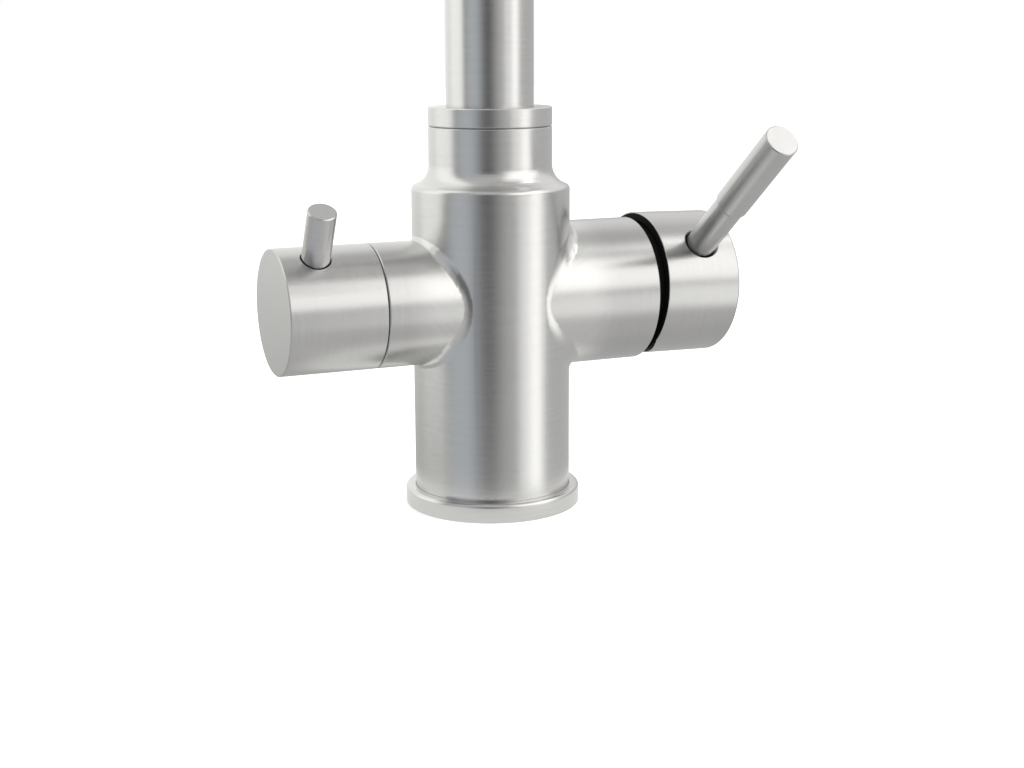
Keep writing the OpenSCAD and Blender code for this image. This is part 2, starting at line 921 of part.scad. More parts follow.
module filter_cartridge_body() {
    color(brass)
        filter_seat()
            difference() {
                union() {
                    bar(barrel_r, barrel_u, hex_seat_u + hex_h);
                    bar(hex_flange_r, hex_seat_u, hex_seat_u + hex_flange_h);
                    translate([0, 0, hex_seat_u])
                        cylinder(h = hex_h, r = hex_r, $fn = 6);
                    bar(filter_neck_r, hex_seat_u, filter_neck_end_u);
                }
                bar(barrel_bore_r, barrel_u - overrun, barrel_u + barrel_bore_len);
                bar(spindle_r + running_gap, barrel_u, filter_neck_end_u + overrun);
                ring(hex_seal_ring_r - hex_seal_groove_w / 2, hex_seal_ring_r + hex_seal_groove_w / 2,
                    hex_seat_u - overrun, hex_seat_u + 2 * hex_seal_r);
            }
}

module filter_cartridge_o_ring() {
    color(rubber)
        filter_seat()
            o_ring(hex_seal_ring_r, hex_seal_r - face_gap, hex_seat_u + hex_seal_r);
}

// Places children at each of the two seals on the filter spindle
module at_spindle_seals() {
    for (step_share = [0.25, 0.6])
        translate([0, 0, hex_seat_u + (hex_h + filter_neck_len) * step_share])
            children();
}

module filter_stem() {
    groove_w = 2 * spindle_seal_r + seat_gap;
    color(brass)
        filter_handle()
            difference() {
                union() {
                    bar(spindle_flange_r, spindle_flange_u, spindle_flange_u + spindle_flange_h);
                    bar(spindle_r, spindle_flange_u, spindle_step_u);
                    bar(spline_r, spindle_flange_u, spindle_end_u);
                }
                at_spindle_seals()
                    ring(spindle_r - groove_w, spindle_r + overrun, -groove_w / 2, groove_w / 2);
                ring(spindle_r - clip_groove_depth, spindle_r + overrun, clip_u, clip_u + clip_h);
            }
}

module filter_stem_seals() {
    color(rubber)
        filter_handle()
            at_spindle_seals()
                o_ring(spindle_r - spindle_seal_r, spindle_seal_r, 0);
}

module filter_stem_clip() {
    color(steel)
        filter_handle()
            ring(spindle_r - clip_groove_depth, clip_r, clip_u, clip_u + clip_h);
}

module filter_knob() {
    color(steel)
        filter_handle()
            difference() {
                rotate_extrude()
                    polygon([[0, filter_reach + knob_seam],
                        [filter_r - edge_chamfer, filter_reach + knob_seam],
                        [filter_r, filter_reach + knob_seam + edge_chamfer],
                        [filter_r, knob_reach - edge_chamfer], [filter_r - edge_chamfer, knob_reach],
                        [0, knob_reach]]);
                ring(knob_hub_r, filter_r - knob_wall, filter_reach, knob_reach - knob_end_h);
                bar(knob_hub_r + overrun, filter_reach, knob_hub_u);
                bar(spline_r + face_gap, filter_reach, spindle_end_u + face_gap);
                spoke(lever_tip_r + face_gap, 0, knob_hub_r + overrun, filter_lever_u);
                spoke(filter_lever_d / 2 + lever_hole_gap, knob_hub_r + overrun, filter_r + overrun,
                    filter_lever_u);
                spoke(grub_r + face_gap, -filter_r - overrun, 0, filter_grub_u);
            }
}

module filter_lever() {
    tip = filter_lever_d / 2;
    color(steel)
        filter_handle()
            translate([0, 0, filter_lever_u])
                rotate([0, 90, 0])
                    rotate_extrude()
                        polygon([[0, filter_tip_reach], [lever_tip_r, filter_tip_reach],
                            [lever_tip_r, knob_hub_r + face_gap], [tip, knob_hub_r + face_gap],
                            [tip, filter_lever_len - edge_chamfer], [tip - edge_chamfer, filter_lever_len],
                            [0, filter_lever_len]]);
}

module filter_grub_screw() {
    color(steel)
        filter_handle()
            difference() {
                spoke(grub_r, -spline_r - face_gap - grub_len, -spline_r - face_gap, filter_grub_u);
                translate([-spline_r - face_gap - grub_len - overrun, 0, filter_grub_u])
                    rotate([0, 90, 0])
                        cylinder(h = grub_key_depth + overrun, r = grub_key_r, $fn = 6);
            }
}

// Hot and cold mixer

// Places children at the hot, cold and mixed ports of the mixer cartridge
module at_mixer_ports() {
    for (side = [-1, 1])
        translate([-hot_cold_offset, side * hot_cold_y, 0])
            children();
    translate([mixed_offset, 0, 0])
        children();
}

// Curved channel from a port of the base round to its port in the fixed disc
module disc_channel(ring_r, start) {
    rotate([0, 0, start])
        translate([0, 0, housing_x - channel_depth])
            rotate_extrude(angle = mixer_lean)
                translate([ring_r - channel_w / 2, 0])
                    square([channel_w, channel_depth + overrun]);
}

module mixer_port_seals() {
    color(rubber)
        mixer_seat()
            at_mixer_ports()
                o_ring(port_seal_ring_r, port_seal_r - face_gap, mixer_floor_x + port_seal_r);
}

module mixer_cartridge_base() {
    color(acetal)
        mixer_seat()
            difference() {
                bar(housing_r - face_gap, mixer_floor_x + housing_base_lift, housing_x);
                at_mixer_ports() {
                    bar(mixer_disc_port_r, mixer_floor_x, housing_x + overrun);
                    bar(port_seal_ring_r + port_seal_r + seat_gap, mixer_floor_x,
                        mixer_floor_x + housing_base_lift + port_seal_depth);
                }
                rotate([0, 0, mixer_lean])
                    at_mixer_ports()
                        bar(mixer_disc_port_r,
                            housing_x - channel_depth - channel_step, housing_x + overrun);
                disc_channel(hot_cold_ring_r, 180 - hot_cold_turn);
                disc_channel(hot_cold_ring_r, 180 + hot_cold_turn);
                disc_channel(mixed_offset, 0);
            }
}

module mixer_disc_fixed() {
    color(ceramic)
        mixer_seat()
            difference() {
                bar(mixer_disc_r, housing_x, housing_x + mixer_disc_h);
                rotate([0, 0, mixer_lean])
                    at_mixer_ports()
                        bar(mixer_disc_port_r, housing_x - overrun, housing_x + mixer_disc_h + overrun);
            }
}

module mixer_cartridge_housing() {
    color(acetal)
        mixer_seat()
            difference() {
                union() {
                    bar(housing_r, housing_x, shoulder_x);
                    bar(housing_neck_r, housing_x, pivot_x + neck_end);
                }
                bar(housing_bore_r, housing_x - overrun, shoulder_x - housing_shoulder_h);
                bar(carrier_r + running_gap, housing_x, pivot_x + neck_end + overrun);
            }
}

module mixer_retaining_nut() {
    key_w = 3;
    color(brass)
        mixer_seat()
            difference() {
                ring(housing_neck_r + seat_gap, nut_r - seat_gap, shoulder_x, nut_face_x);
                for (a = [0, 90])
                    rotate([0, 0, a])
                        block(2 * nut_r + overrun, key_w, nut_face_x - nut_h / 2, nut_face_x + overrun);
            }
}

module mixer_shroud() {
    color(nylon_black)
        mixer_seat()
            ring(housing_neck_r + face_gap, housing_neck_r + face_gap + shroud_wall,
                nut_face_x + seat_gap, pivot_x + shroud_end);
}

module mixer_carrier() {
    color(acetal)
        mixer_pivot(0)
            difference() {
                union() {
                    bar(carrier_r, carrier_flange_start, carrier_end);
                    bar(carrier_flange_r, carrier_flange_start, carrier_flange_top);
                }
                block(tongue_len + 2 * tongue_play, tongue_w + 2 * tongue_gap,
                    carrier_flange_start - overrun, tongue_end + tongue_gap);
                block(stem_w + 2 * stem_slot_play, stem_w + 2 * tongue_gap,
                    carrier_flange_start, carrier_end + overrun);
                rotate([90, 0, 0])
                    bar(pin_r, -carrier_r, carrier_r);
            }
}

module mixer_pivot_pin() {
    color(steel)
        mixer_pivot(0)
            rotate([90, 0, 0])
                bar(pin_r, -carrier_r + seat_gap, carrier_r - seat_gap);
}

// Places children where the stem's ball holds the coupler at the resting tilt
module at_coupler() {
    mixer_pivot(0)
        translate([stem_arm * sin(cap_tilt), 0, 0])
            children();
}

module mixer_disc_carrier() {
    color(acetal)
        at_coupler()
            difference() {
                union() {
                    bar(mixer_slide_disc_r - seat_gap, tongue_start, carrier_flange_start - tongue_gap);
                    block(tongue_len, tongue_w, tongue_start, tongue_end);
                }
                bar(stem_ball_r + running_gap, -stem_arm - stem_ball_r, tongue_end + overrun);
            }
}

module mixer_disc_moving() {
    base = housing_x + mixer_disc_h + face_gap - pivot_x;
    color(ceramic)
        at_coupler()
            difference() {
                bar(mixer_slide_disc_r, base, tongue_start);
                bar(mixing_pocket_r, base - overrun, base + mixing_pocket_depth);
            }
}

module mixer_stem() {
    color(steel)
        mixer_pivot(cap_tilt)
            difference() {
                union() {
                    block(stem_w, stem_w, stem_shank_start, stem_end);
                    bar(stem_shank_r, -stem_arm, stem_shank_start + overrun);
                    translate([0, 0, -stem_arm])
                        sphere(stem_ball_r);
                }
                rotate([90, 0, 0])
                    bar(pin_r + running_gap, -stem_w, stem_w);
            }
}

// Cap; its rim is cut back at a slant on the side away from the lever
module mixer_cap() {
    color(steel)
        mixer_pivot(cap_tilt)
            difference() {
                rotate_extrude()
                    polygon(concat(
                        [[0, cap_rim], [cap_r - cap_rim_chamfer, cap_rim],
                            [cap_r, cap_rim + cap_rim_chamfer]],
                        arc(cap_r - cap_edge_r, cap_end - cap_edge_r, cap_edge_r, 0, 90),
                        [[0, cap_end]]));
                ring(cap_hub_r, cap_r - cap_wall, cap_rim - overrun, cap_end - cap_end_h);
                bar(cap_hub_r + overrun, cap_rim - overrun, cap_hub_start);
                bar(cap_r - liner_lip, cap_rim - overrun, cap_rim + liner_len);
                translate([cap_r * cap_relief_start_share, 0, cap_rim])
                    rotate([0, cap_relief_angle, 0])
                        translate([-cap_r - overrun, 0, 0])
                            block(2 * (cap_r + overrun), 2 * (cap_r + overrun), -cap_r, 0);
                block(stem_w + 2 * face_gap, stem_w + 2 * face_gap, cap_rim, stem_end + face_gap);
                spoke(lever_tip_r + face_gap, 0, cap_hub_r + overrun, rod_u);
                spoke(rod_r + rod_hole_gap, cap_hub_r + overrun, cap_r + overrun, rod_u);
                translate([cap_r - rod_hole_flare_h, 0, rod_u])
                    rotate([0, 90, 0])
                        cylinder(h = 2 * rod_hole_flare_h, r1 = rod_r + rod_hole_gap,
                            r2 = rod_r + rod_hole_gap + 2 * rod_hole_flare);
                spoke(grub_r + face_gap, -cap_r - overrun, 0, rod_u);
            }
}

module mixer_cap_liner() {
    color(nylon_black)
        mixer_pivot(cap_tilt)
            ring(cap_r - liner_lip - liner_wall, cap_r - liner_lip, cap_rim, cap_rim + liner_len);
}

module mixer_lever_rod() {
    tip_start = stem_w / 2 + rod_tip_gap;
    spigot_end = sleeve_start + sleeve_bore_depth;
    color(steel)
        mixer_pivot(cap_tilt)
            translate([0, 0, rod_u])
                rotate([0, 90, 0])
                    rotate_extrude()
                        polygon([[0, tip_start], [lever_tip_r, tip_start],
                            [lever_tip_r, cap_hub_r + face_gap], [rod_r, cap_hub_r + face_gap],
                            [rod_r, sleeve_start - edge_chamfer], [rod_r - edge_chamfer, sleeve_start],
                            [sleeve_spigot_r, sleeve_start], [sleeve_spigot_r, spigot_end],
                            [0, spigot_end]]);
}

module mixer_lever_sleeve() {
    start = sleeve_start + sleeve_shadow;
    bore_end = sleeve_start + sleeve_bore_depth + seat_gap;
    color(steel)
        mixer_pivot(cap_tilt)
            translate([0, 0, rod_u])
                rotate([0, 90, 0])
                    rotate_extrude()
                        polygon([[sleeve_spigot_r + face_gap, start], [sleeve_r - edge_chamfer, start],
                            [sleeve_r, start + edge_chamfer], [sleeve_r, mixer_lever_len - edge_chamfer],
                            [sleeve_r - edge_chamfer, mixer_lever_len], [0, mixer_lever_len],
                            [0, bore_end], [sleeve_spigot_r + face_gap, bore_end]]);
}

module mixer_grub_screw() {
    start = stem_w / 2 + rod_tip_gap;
    color(steel)
        mixer_pivot(cap_tilt)
            difference() {
                spoke(grub_r, -start - grub_len, -start, rod_u);
                translate([-start - grub_len - overrun, 0, rod_u])
                    rotate([0, 90, 0])
                        cylinder(h = grub_key_depth + overrun, r = grub_key_r, $fn = 6);
            }
}

base_ring();
base_seal();
body_shell();
inlet_block();
inlet_seals();
inlet_block_screws();
filter_face_seal();
filter_disc_fixed();
filter_cartridge_body();
filter_cartridge_o_ring();
mixer_port_seals();
mixer_cartridge_base();
mixer_disc_fixed();
mixer_cartridge_housing();
mixer_retaining_nut();
mixer_shroud();
neck_glide_ring();
spout_grub_screw();
spout_tube();
spout_collar();
spout_bush();
spout_o_rings();
filtered_water_tube();
filtered_tube_tip();
filtered_tube_o_rings();
filtered_tube_spacers();
outlet_fitting();
aerator_gasket();
aerator_housing();
aerator_insert();
aerator_screen();
filtered_nozzle();
filter_knob();
filter_lever();
filter_grub_screw();
filter_stem();
filter_stem_seals();
filter_stem_clip();
filter_disc_moving();
mixer_carrier();
mixer_pivot_pin();
mixer_disc_carrier();
mixer_disc_moving();
mixer_cap();
mixer_cap_liner();
mixer_stem();
mixer_lever_rod();
mixer_lever_sleeve();
mixer_grub_screw();
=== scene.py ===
import json
import math

import bpy
from mathutils import Matrix, Vector

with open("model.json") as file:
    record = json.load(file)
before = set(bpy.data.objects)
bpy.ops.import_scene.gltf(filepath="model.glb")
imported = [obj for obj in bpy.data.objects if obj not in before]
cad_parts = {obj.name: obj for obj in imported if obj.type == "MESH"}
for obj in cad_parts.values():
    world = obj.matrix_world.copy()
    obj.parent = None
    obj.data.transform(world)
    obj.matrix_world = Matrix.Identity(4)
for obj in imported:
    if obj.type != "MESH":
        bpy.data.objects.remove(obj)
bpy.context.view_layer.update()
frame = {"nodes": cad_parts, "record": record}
nodes = frame["nodes"]

# Camera, fitted to the photograph; all lengths in this file are in metres
PHOTO_W = 1024
FOCAL_PX = 1589.814
SENSOR_MM = 36
AZIMUTH = math.radians(-22.794)
YAW = math.radians(-0.744)
PITCH = math.radians(12.363)
ROLL = math.radians(-0.242)
DISTANCE = 0.502996
HEIGHT = 0.148716

# Heights of the axes that the brushing of the side branches and of the cap goes round
BRANCH_Z = 0.067
CAP_Z = 0.0683

# The spout's bend, in its middle line
BEND_R = 0.1
BEND_Z = 0.25

# Brushed steel: fine hairs and coarser lines, their pitch and length, and how deep they are
HAIR_PITCH = 0.00005
HAIR_LENGTH = 0.006
LINE_PITCH = 0.0007
LINE_LENGTH = 0.012
LINE_SHARE = 0.09
BRUSH_DEPTH = 0.000020
LANE_SLOPE = 0.93
STEEL_DARK = (0.622, 0.619, 0.609)
STEEL_LIGHT = (0.665, 0.662, 0.652)
STEEL_ROUGH = 0.20
LEVER_ROUGH = 0.26
ROUGH_CHANGE = 0.05
CLOUD_SCALE = 28.0
SOFT_EDGE_R = 0.00025

# Where the brushing around the body gives way to that around a branch, and the body's colour to the
# branches' darker painted shade, from the body's axis
BLEND_START = 0.0235
BLEND_END = 0.036

# Facets that meet at less than this angle, in degrees, are shaded as one curved face. Corners
# count as one point when they agree to this many decimals
BLEND_LIMIT = 30
CORNER_DIGITS = 6

# Rounds in which a part's longest direction is found
FIT_ROUNDS = 20

# A slow noise between these two values changes a material's tone
TONE_LOW = 0.3
TONE_HIGH = 0.7

# Turned metal inside: the size of its clouds, how dark they get, and how far its roughness varies
METAL_CLOUD = 60.0
METAL_DARK = 0.88
METAL_STRETCH = (1.0, 1.0, 6.0)
METAL_ROUGH_RANGE = 0.12

# Plastic, rubber and ceramic: the same
MOULDED_CLOUD = 45.0
MOULDED_DARK = 0.85
MOULDED_ROUGH_RANGE = 0.14

# Floor: its half width, its grey and glow, and how far out metal still shows a lit table, a painted
# reflection that glows on the floor for glossy rays only
FLOOR_HALF = 4.0
FLOOR_GREY = 0.8
FLOOR_GLOW = 0.42
TABLE_GLOW_COLOUR = (0.92, 0.92, 0.90)
TABLE_NEAR = 0.044
TABLE_FAR = 0.058

# Lamps: name, place, width and power
LAMP_AIM = (0, 0, 0.08)
LAMPS = [
    ("key", (0.35, -0.55, 1.3), 1.1, 9.0),
    ("fill", (-0.9, -0.5, 0.8), 0.9, 3.0),
]


def make_camera():
    turn = AZIMUTH + YAW
    level = Vector((-math.sin(turn), math.cos(turn), 0))
    right = Vector((math.cos(turn), math.sin(turn), 0))
    up = Vector((0, 0, 1))
    forward = level * math.cos(PITCH) - up * math.sin(PITCH)
    above = up * math.cos(PITCH) + level * math.sin(PITCH)
    right_rolled = right * math.cos(ROLL) + above * math.sin(ROLL)
    above_rolled = above * math.cos(ROLL) - right * math.sin(ROLL)
    data = bpy.data.cameras.new("camera")
    data.sensor_width = SENSOR_MM
    data.lens = FOCAL_PX * SENSOR_MM / PHOTO_W
    data.clip_start = 0.01
    data.clip_end = 100
    camera = bpy.data.objects.new("camera", data)
    bpy.context.scene.collection.objects.link(camera)
    turned = Matrix((right_rolled, above_rolled, -forward)).transposed().to_4x4()
    place = (math.sin(AZIMUTH) * DISTANCE, -math.cos(AZIMUTH) * DISTANCE, HEIGHT)
    camera.matrix_world = Matrix.Translation(place) @ turned
    bpy.context.scene.camera = camera


class Graph:
    """Builds one node tree. An input takes a number, a colour or another node's output."""

    def __init__(self, tree):
        self.tree = tree
        tree.nodes.clear()

    def add(self, kind, inputs=None, out=0, every=False, **settings):
        node = self.tree.nodes.new("ShaderNode" + kind)
        for key, value in settings.items():
            setattr(node, key, value)
        for key, value in (inputs or {}).items():
            socket = node.inputs[key]
            if isinstance(value, bpy.types.NodeSocket):
                self.tree.links.new(value, socket)
            else:
                socket.default_value = value
        if every:
            return node.outputs
        return node.outputs[out] if node.outputs else None

    def math(self, operation, a, b=0.0):
        return self.add("Math", {0: a, 1: b}, operation=operation)

    def vector(self, operation, a, b=(0, 0, 0), out=0):
        return self.add("VectorMath", {0: a, 1: b}, out=out, operation=operation)

    def step(self, value, low, high, a=0.0, b=1.0, kind="SMOOTHSTEP"):
        ends = {"Value": value, "From Min": low, "From Max": high, "To Min": a, "To Max": b}
        return self.add("MapRange", ends, interpolation_type=kind)

    def mix(self, share, a, b):
        inputs = {"Fac": share, "Color1": a, "Color2": b}
        return self.add("MixRGB", inputs)

    def mix_value(self, share, a, b):
        return self.add("Mix", {"Factor": share, "A": a, "B": b})

    def noise(self, vector, scale, detail):
        return self.add("TexNoise", {"Vector": vector, "Scale": scale, "Detail": detail})


def rgb(r, g, b):
    return (r, g, b, 1.0)


def new_material(name):
    """An empty material, its graph and the place of a point on the object."""
    material = bpy.data.materials.new(name)
    material.use_nodes = True
    g = Graph(material.node_tree)
    return material, g, g.add("TexCoord", out="Object")


# Studio: the direction of a ray is given by its turn to the right of the camera, seen from the tap,
# and by its height above the horizon, both in degrees
ROOM = rgb(0.60, 0.60, 0.595)
PANELS = [
    # turn from, to, its soft edge, height from, to, its soft edge, colour
    (-400, 400, 8, 20, 200, 8, rgb(0.62, 0.62, 0.61)),
    (-400, -73, 8, -60, 70, 8, rgb(0.54, 0.54, 0.53)),
    (-400, -73, 8, -8, 70, 8, rgb(1.12, 1.12, 1.10)),
    (-118, -73, 8, -8, 70, 8, rgb(1.36, 1.36, 1.34)),
    (100, 400, 10, 15, 52, 8, rgb(1.0, 0.99, 0.98)),
    (-66, -17, 5, -60, 40, 5, rgb(0.57, 0.60, 0.63)),
    (-72, -58, 4, -8, 40, 8, rgb(0.38, 0.38, 0.385)),
    (8, 43, 4, -70, 12, 4, rgb(0.64, 0.64, 0.635)),
    (13, 34, 5, -26, 11, 4, rgb(0.55, 0.55, 0.545)),
    (33, 41, 4, -26, 11, 4, rgb(0.42, 0.42, 0.415)),
    (-21, 13, 16, -19, 26, 8, rgb(0.11, 0.11, 0.115)),
    (43, 88, 4, -70, 10, 4, rgb(0.67, 0.665, 0.655)),
    (40, 60, 3, -26, 10, 6, rgb(1.12, 1.115, 1.105)),
    (58, 80, 4, -30, 10, 6, rgb(1.65, 1.645, 1.63)),
    (31, 96, 4, 9, 48, 4, rgb(1.66, 1.64, 1.62)),
    (52, 96, 4, 9, 48, 4, rgb(1.78, 1.76, 1.74)),
    (31, 60, 4, 40, 56, 4, rgb(1.6, 1.58, 1.56)),
    (84, 112, 4, 40, 62, 4, rgb(1.2, 1.19, 1.18)),
    (87, 106, 2, 43, 57, 2, rgb(2.6, 2.59, 2.58)),
    (47, 61, 2, -1, 6, 2, rgb(0.5, 0.5, 0.495)),
]


def band(g, value, low, high, soft):
    rise = g.step(value, low - soft, low + soft)
    fall = g.step(value, high - soft, high + soft, 1.0, 0.0)
    return g.math("MULTIPLY", rise, fall)


def make_world():
    world = bpy.data.worlds.new("studio")
    bpy.context.scene.world = world
    world.use_nodes = True
    g = Graph(world.node_tree)
    way = g.add("TexCoord", out="Generated")
    x, y, z = g.add("SeparateXYZ", {0: way}, every=True)
    spin = g.math("ARCTAN2", x, g.math("MULTIPLY", y, -1.0))
    spin = g.math("SUBTRACT", g.math("MULTIPLY", spin, 180 / math.pi), math.degrees(AZIMUTH))
    spin = g.add("Math", {0: spin, 1: 180.0, 2: -180.0}, operation="WRAP")
    rise = g.math("MULTIPLY", g.math("ARCSINE", z), 180 / math.pi)
    colour = ROOM
    for left, right, turn_soft, low, high, rise_soft, tone in PANELS:
        across = band(g, spin, left, right, turn_soft)
        mask = g.math("MULTIPLY", across, band(g, rise, low, high, rise_soft))
        colour = g.mix(mask, colour, tone)
    rays = g.add("LightPath", every=True)
    seen = g.math("MAXIMUM", rays["Is Camera Ray"], rays["Is Transmission Ray"])
    colour = g.mix(seen, colour, rgb(1, 1, 1))
    back = g.add("Background", {"Color": colour, "Strength": 1.0})
    g.add("OutputWorld", {"Surface": back})


def make_floor():
    mesh = bpy.data.meshes.new("floor")
    corners = [(x * FLOOR_HALF, y * FLOOR_HALF, 0) for x, y in ((-1, -1), (1, -1), (1, 1), (-1, 1))]
    mesh.from_pydata(corners, [], [(0, 1, 2, 3)])
    floor = bpy.data.objects.new("floor", mesh)
    bpy.context.scene.collection.objects.link(floor)
    material, g, place = new_material("pale_floor")
    rays = g.add("LightPath", every=True)
    seen = g.math("MAXIMUM", rays["Is Camera Ray"], rays["Is Transmission Ray"])
    matte = g.add("BsdfDiffuse", {"Color": rgb(FLOOR_GREY, FLOOR_GREY, FLOOR_GREY)})
    shine = g.math("MULTIPLY", seen, FLOOR_GLOW)
    glow = g.add("Emission", {"Color": rgb(1, 1, 1), "Strength": shine})
    white = g.add("AddShader", {0: matte, 1: glow})
    # Painted reflection: near the tap the floor glows as a lit table for glossy rays; farther out
    # it lets them through to the studio
    far = g.vector("LENGTH", place, out="Value")
    near = g.step(far, TABLE_NEAR, TABLE_FAR, 1.0, 0.0)
    painted_table_glow = g.add("Emission", {"Color": rgb(*TABLE_GLOW_COLOUR), "Strength": 1.0})
    mirrored = g.add("MixShader", {0: near, 1: g.add("BsdfTransparent"), 2: painted_table_glow})
    shader = g.add("MixShader", {0: rays["Is Glossy Ray"], 1: white, 2: mirrored})
    g.add("OutputMaterial", {"Surface": shader})
    mesh.materials.append(material)


def make_lamps():
    for name, place, size, power in LAMPS:
        data = bpy.data.lights.new(name, "AREA")
        data.shape = "SQUARE"
        data.size = size
        data.energy = power
        lamp = bpy.data.objects.new(name, data)
        bpy.context.scene.collection.objects.link(lamp)
        lamp.location = place
        aim = Vector(LAMP_AIM) - Vector(place)
        lamp.rotation_mode = "QUATERNION"
        lamp.rotation_quaternion = aim.to_track_quat("-Z", "Y")
        lamp.visible_glossy = False
        lamp.visible_camera = False


def shader_end(g, colour, metallic, roughness, normal, ior=1.5):
    inputs = {
        "Base Color": colour, "Metallic": metallic, "Roughness": roughness, "IOR": ior,
        "Normal": normal,
    }
    g.add("OutputMaterial", {"Surface": g.add("BsdfPrincipled", inputs)})


def turned_lane(g, place, origin, axis):
    """How far a point is along an axis less how far out from it. A brush line has one value."""
    way = tuple(Vector(axis).normalized())
    offset = g.vector("SUBTRACT", place, tuple(origin))
    along = g.vector("DOT_PRODUCT", offset, way, out="Value")
    foot = g.add("VectorMath", {0: way, "Scale": along}, operation="SCALE")
    radius = g.vector("LENGTH", g.vector("SUBTRACT", offset, foot), out="Value")
    return g.math("SUBTRACT", g.math("ABSOLUTE", along), g.math("MULTIPLY", radius, LANE_SLOPE))


def spout_lane(g, place):
    """Length along the spout's bent middle line, from its foot to its outlet."""
    parts = g.add("SeparateXYZ", {0: place}, every=True)
    y, z = parts["Y"], parts["Z"]
    across = g.math("ADD", y, BEND_R)
    above = g.math("SUBTRACT", z, BEND_Z)
    turn = g.math("MULTIPLY", g.math("ARCTAN2", above, across), BEND_R)
    down = g.math("SUBTRACT", math.pi * BEND_R, above)
    leg = g.mix_value(g.math("LESS_THAN", across, 0.0), above, down)
    return g.mix_value(g.math("GREATER_THAN", above, 0.0), leg, turn)


def brush(g, place, lane, pitch, length):
    """Streaks that change fast from lane to lane and slowly along it."""
    inputs = {
        "Vector": g.add("VectorMath", {0: place, "Scale": 1 / length}, operation="SCALE"),
        "W": g.math("DIVIDE", lane, pitch), "Scale": 1.0, "Detail": 1.0, "Roughness": 0.5,
    }
    return g.add("TexNoise", inputs, noise_dimensions="4D")


def brushed_steel(name, lanes, depths, painted_shades, blend=None, base_rough=STEEL_ROUGH):
    """Satin steel with brush lines.

    Each set of lanes has its own depth and painted shade, as shares of BRUSH_DEPTH and of the
    steel's colours; a painted shade below 1 darkens that steel for how light falls on it. With two
    sets, blend says where the second is.
    """
    material, g, place = new_material(name)
    sets = [lane(g, place) for lane in lanes]
    hair = [brush(g, place, lane, HAIR_PITCH, HAIR_LENGTH) for lane in sets]
    lines = [brush(g, place, lane, LINE_PITCH, LINE_LENGTH) for lane in sets]
    heights = [
        g.math("MULTIPLY", g.math("ADD", fine, g.math("MULTIPLY", coarse, LINE_SHARE)), depth)
        for fine, coarse, depth in zip(hair, lines, depths)
    ]
    if blend:
        share = blend(g, place)
        lines = [g.mix_value(share, *lines)]
        heights = [g.mix_value(share, *heights)]
    lines, height = lines[0], heights[0]
    cloud = g.noise(place, CLOUD_SCALE, 3.0)
    tone = g.math("ADD", g.math("MULTIPLY", lines, 0.5), g.math("MULTIPLY", cloud, 0.5))
    pale = g.step(tone, TONE_LOW, TONE_HIGH, kind="LINEAR")
    # Lit and shaded copies of one steel: its colours scaled by each set's painted shade
    dark = [rgb(*(c * painted_shade for c in STEEL_DARK)) for painted_shade in painted_shades]
    light = [rgb(*(c * painted_shade for c in STEEL_LIGHT)) for painted_shade in painted_shades]
    if blend:
        dark = [g.mix(share, *dark)]
        light = [g.mix(share, *light)]
    colour = g.mix(pale, dark[0], light[0])
    changes = [g.math("MULTIPLY", value, ROUGH_CHANGE) for value in (lines, cloud)]
    rough = g.math("ADD", g.math("ADD", *changes), base_rough)
    soft_edge = g.add("Bevel", {"Radius": SOFT_EDGE_R}, samples=4)
    inputs = {"Height": height, "Normal": soft_edge, "Distance": BRUSH_DEPTH, "Strength": 1.0}
    shader_end(g, colour, 1.0, rough, g.add("Bump", inputs))
    return material


def middle_line(node):
    """Middle of a node's mesh and the direction in which it is longest."""
    points = [v.co for v in nodes[node].data.vertices]
    middle = sum(points, Vector()) / len(points)
    far = max(points, key=lambda p: (p - middle).length)
    way = (far - middle).normalized()
    for _ in range(FIT_ROUNDS):
        way = sum(((p - middle) * (p - middle).dot(way) for p in points), Vector()).normalized()
    return middle, way


def smooth_blends(mesh):
    """Shading normals for the blends at the side branches, whose facets come in flat."""
    limit = math.cos(math.radians(BLEND_LIMIT))
    normals = [corner.vector.copy() for corner in mesh.corner_normals]
    meeting = {}
    for face in mesh.polygons:
        count = len(face.loop_indices)
        points = [mesh.vertices[i].co for i in face.vertices]
        for i, corner in enumerate(face.loop_indices):
            width = (points[i - 1] - points[i]).angle(points[(i + 1) % count] - points[i], 0)
            spot = tuple(round(c, CORNER_DIGITS) for c in points[i])
            meeting.setdefault(spot, []).append((face, corner, width))
    smoothed = list(normals)
    for corners in meeting.values():
        for face, corner, _ in corners:
            if face.use_smooth:
                continue
            close = [c for c in corners if normals[c[1]].dot(face.normal) > limit]
            turned = [c for c in close if c[0].use_smooth]
            total = Vector()
            for _, other, width in turned or close:
                total += normals[other] * width
            smoothed[corner] = total.normalized()
    for face in mesh.polygons:
        face.use_smooth = True
    mesh.normals_split_custom_set(smoothed)


def smooth_metal(name, colour, roughness, grain=600.0, depth=0.00001):
    """Turned or drawn metal with fine marks and a slight change of tone."""
    material, g, place = new_material(name)
    cloud = g.noise(place, METAL_CLOUD, 4.0)
    marks = g.noise(g.vector("MULTIPLY", place, METAL_STRETCH), grain, 3.0)
    dark = tuple(c * METAL_DARK for c in colour)
    pale = g.step(cloud, TONE_LOW, TONE_HIGH, kind="LINEAR")
    tone = g.mix(pale, rgb(*dark), rgb(*colour))
    least = roughness - METAL_ROUGH_RANGE / 2
    rough = g.math("ADD", g.math("MULTIPLY", marks, METAL_ROUGH_RANGE), least)
    height = {"Height": marks, "Distance": depth, "Strength": 1.0}
    shader_end(g, tone, 1.0, rough, g.add("Bump", height))
    return material


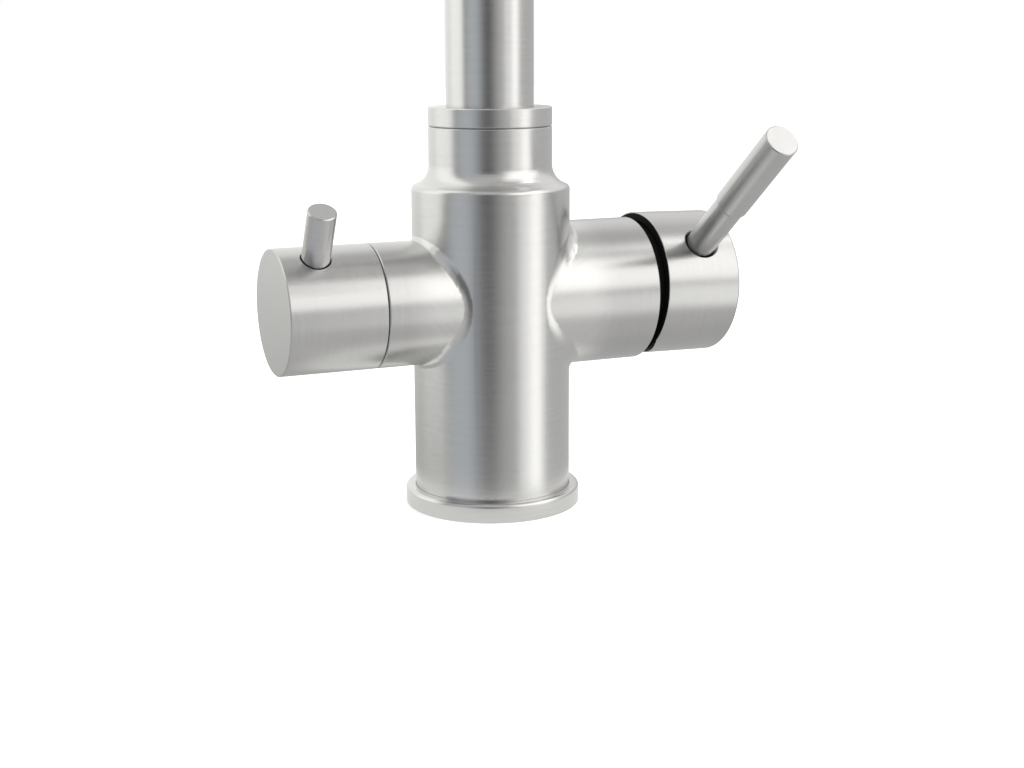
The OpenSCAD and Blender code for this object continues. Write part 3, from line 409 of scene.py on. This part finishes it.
def moulded(name, colour, roughness, grain=900.0, depth=0.00002, ior=1.5):
    """Moulded plastic, rubber or fired ceramic with a fine surface grain."""
    material, g, place = new_material(name)
    cloud = g.noise(place, MOULDED_CLOUD, 3.0)
    grains = g.noise(place, grain, 3.0)
    dark = tuple(c * MOULDED_DARK for c in colour)
    pale = g.step(cloud, TONE_LOW, TONE_HIGH, kind="LINEAR")
    tone = g.mix(pale, rgb(*dark), rgb(*colour))
    least = roughness - MOULDED_ROUGH_RANGE / 2
    rough = g.math("ADD", g.math("MULTIPLY", grains, MOULDED_ROUGH_RANGE), least)
    height = {"Height": grains, "Distance": depth, "Strength": 1.0}
    shader_end(g, tone, 0.0, rough, g.add("Bump", height), ior)
    return material


def dress():
    plain = {
        "plain_steel": smooth_metal("plain_steel", (0.60, 0.60, 0.59), 0.32),
        "brass": smooth_metal("brass", (0.72, 0.55, 0.30), 0.30),
        "ceramic": moulded("ceramic", (0.86, 0.85, 0.82), 0.22, 1500.0, 0.000004),
        "acetal": moulded("acetal", (0.82, 0.82, 0.79), 0.42),
        "black_nylon": moulded("black_nylon", (0.005, 0.005, 0.005), 0.7, ior=1.25),
        "rubber": moulded("rubber", (0.020, 0.020, 0.021), 0.68),
    }

    def round_z(g, place):
        return turned_lane(g, place, (0, 0, 0), (0, 0, 1))

    def round_x(height):
        return lambda g, place: turned_lane(g, place, (0, 0, height), (1, 0, 0))

    def round_own(node):
        return lambda g, place: turned_lane(g, place, *middle_line(node))

    # Share of the branch, from the body's axis; it blends the brushing and the branches' darker
    # painted shade
    def on_branch(g, place):
        x = g.add("SeparateXYZ", {0: place})
        return g.step(g.math("ABSOLUTE", x), BLEND_START, BLEND_END)

    # The last number list of each steel is painted shade: branches, knob, cap, stub and lever are
    # the body's steel painted darker for how light falls on them
    two_ways = [round_z, round_x(BRANCH_Z)]
    body = brushed_steel("body_steel", two_ways, [0.5, 0.35], [1.0, 0.84], on_branch)
    turned = brushed_steel("turned_steel", [round_z], [0.5], [1.0])
    ring = brushed_steel("ring_steel", [round_z], [0.15], [1.0])
    tube = brushed_steel("tube_steel", [spout_lane], [0.5], [1.0])
    knob = brushed_steel("knob_steel", [round_x(BRANCH_Z)], [0.35], [0.88])
    cap = brushed_steel("cap_steel", [round_x(CAP_Z)], [0.4], [0.84])
    stub = brushed_steel("stub_steel", [round_own("filter_lever")], [0.5], [0.92])
    round_lever = [round_own("mixer_lever_rod")]
    lever = brushed_steel("lever_steel", round_lever, [0.5], [0.9], base_rough=LEVER_ROUGH)
    steel = {
        "base_ring": ring, "body_shell": body, "spout_tube": tube, "spout_collar": turned,
        "aerator_housing": turned, "filter_knob": knob, "mixer_cap": cap,
        "filter_lever": stub, "mixer_lever_rod": lever, "mixer_lever_sleeve": lever,
    }
    for part in frame["record"]["subparts"]:
        name = part["node"]
        material = steel.get(name) or plain[part["material_slot"]]
        nodes[name].data.materials.clear()
        nodes[name].data.materials.append(material)


bpy.context.scene.view_settings.view_transform = "Standard"
make_camera()
make_world()
make_floor()
make_lamps()
smooth_blends(nodes["body_shell"].data)
dress()

bpy.context.view_layer.update()
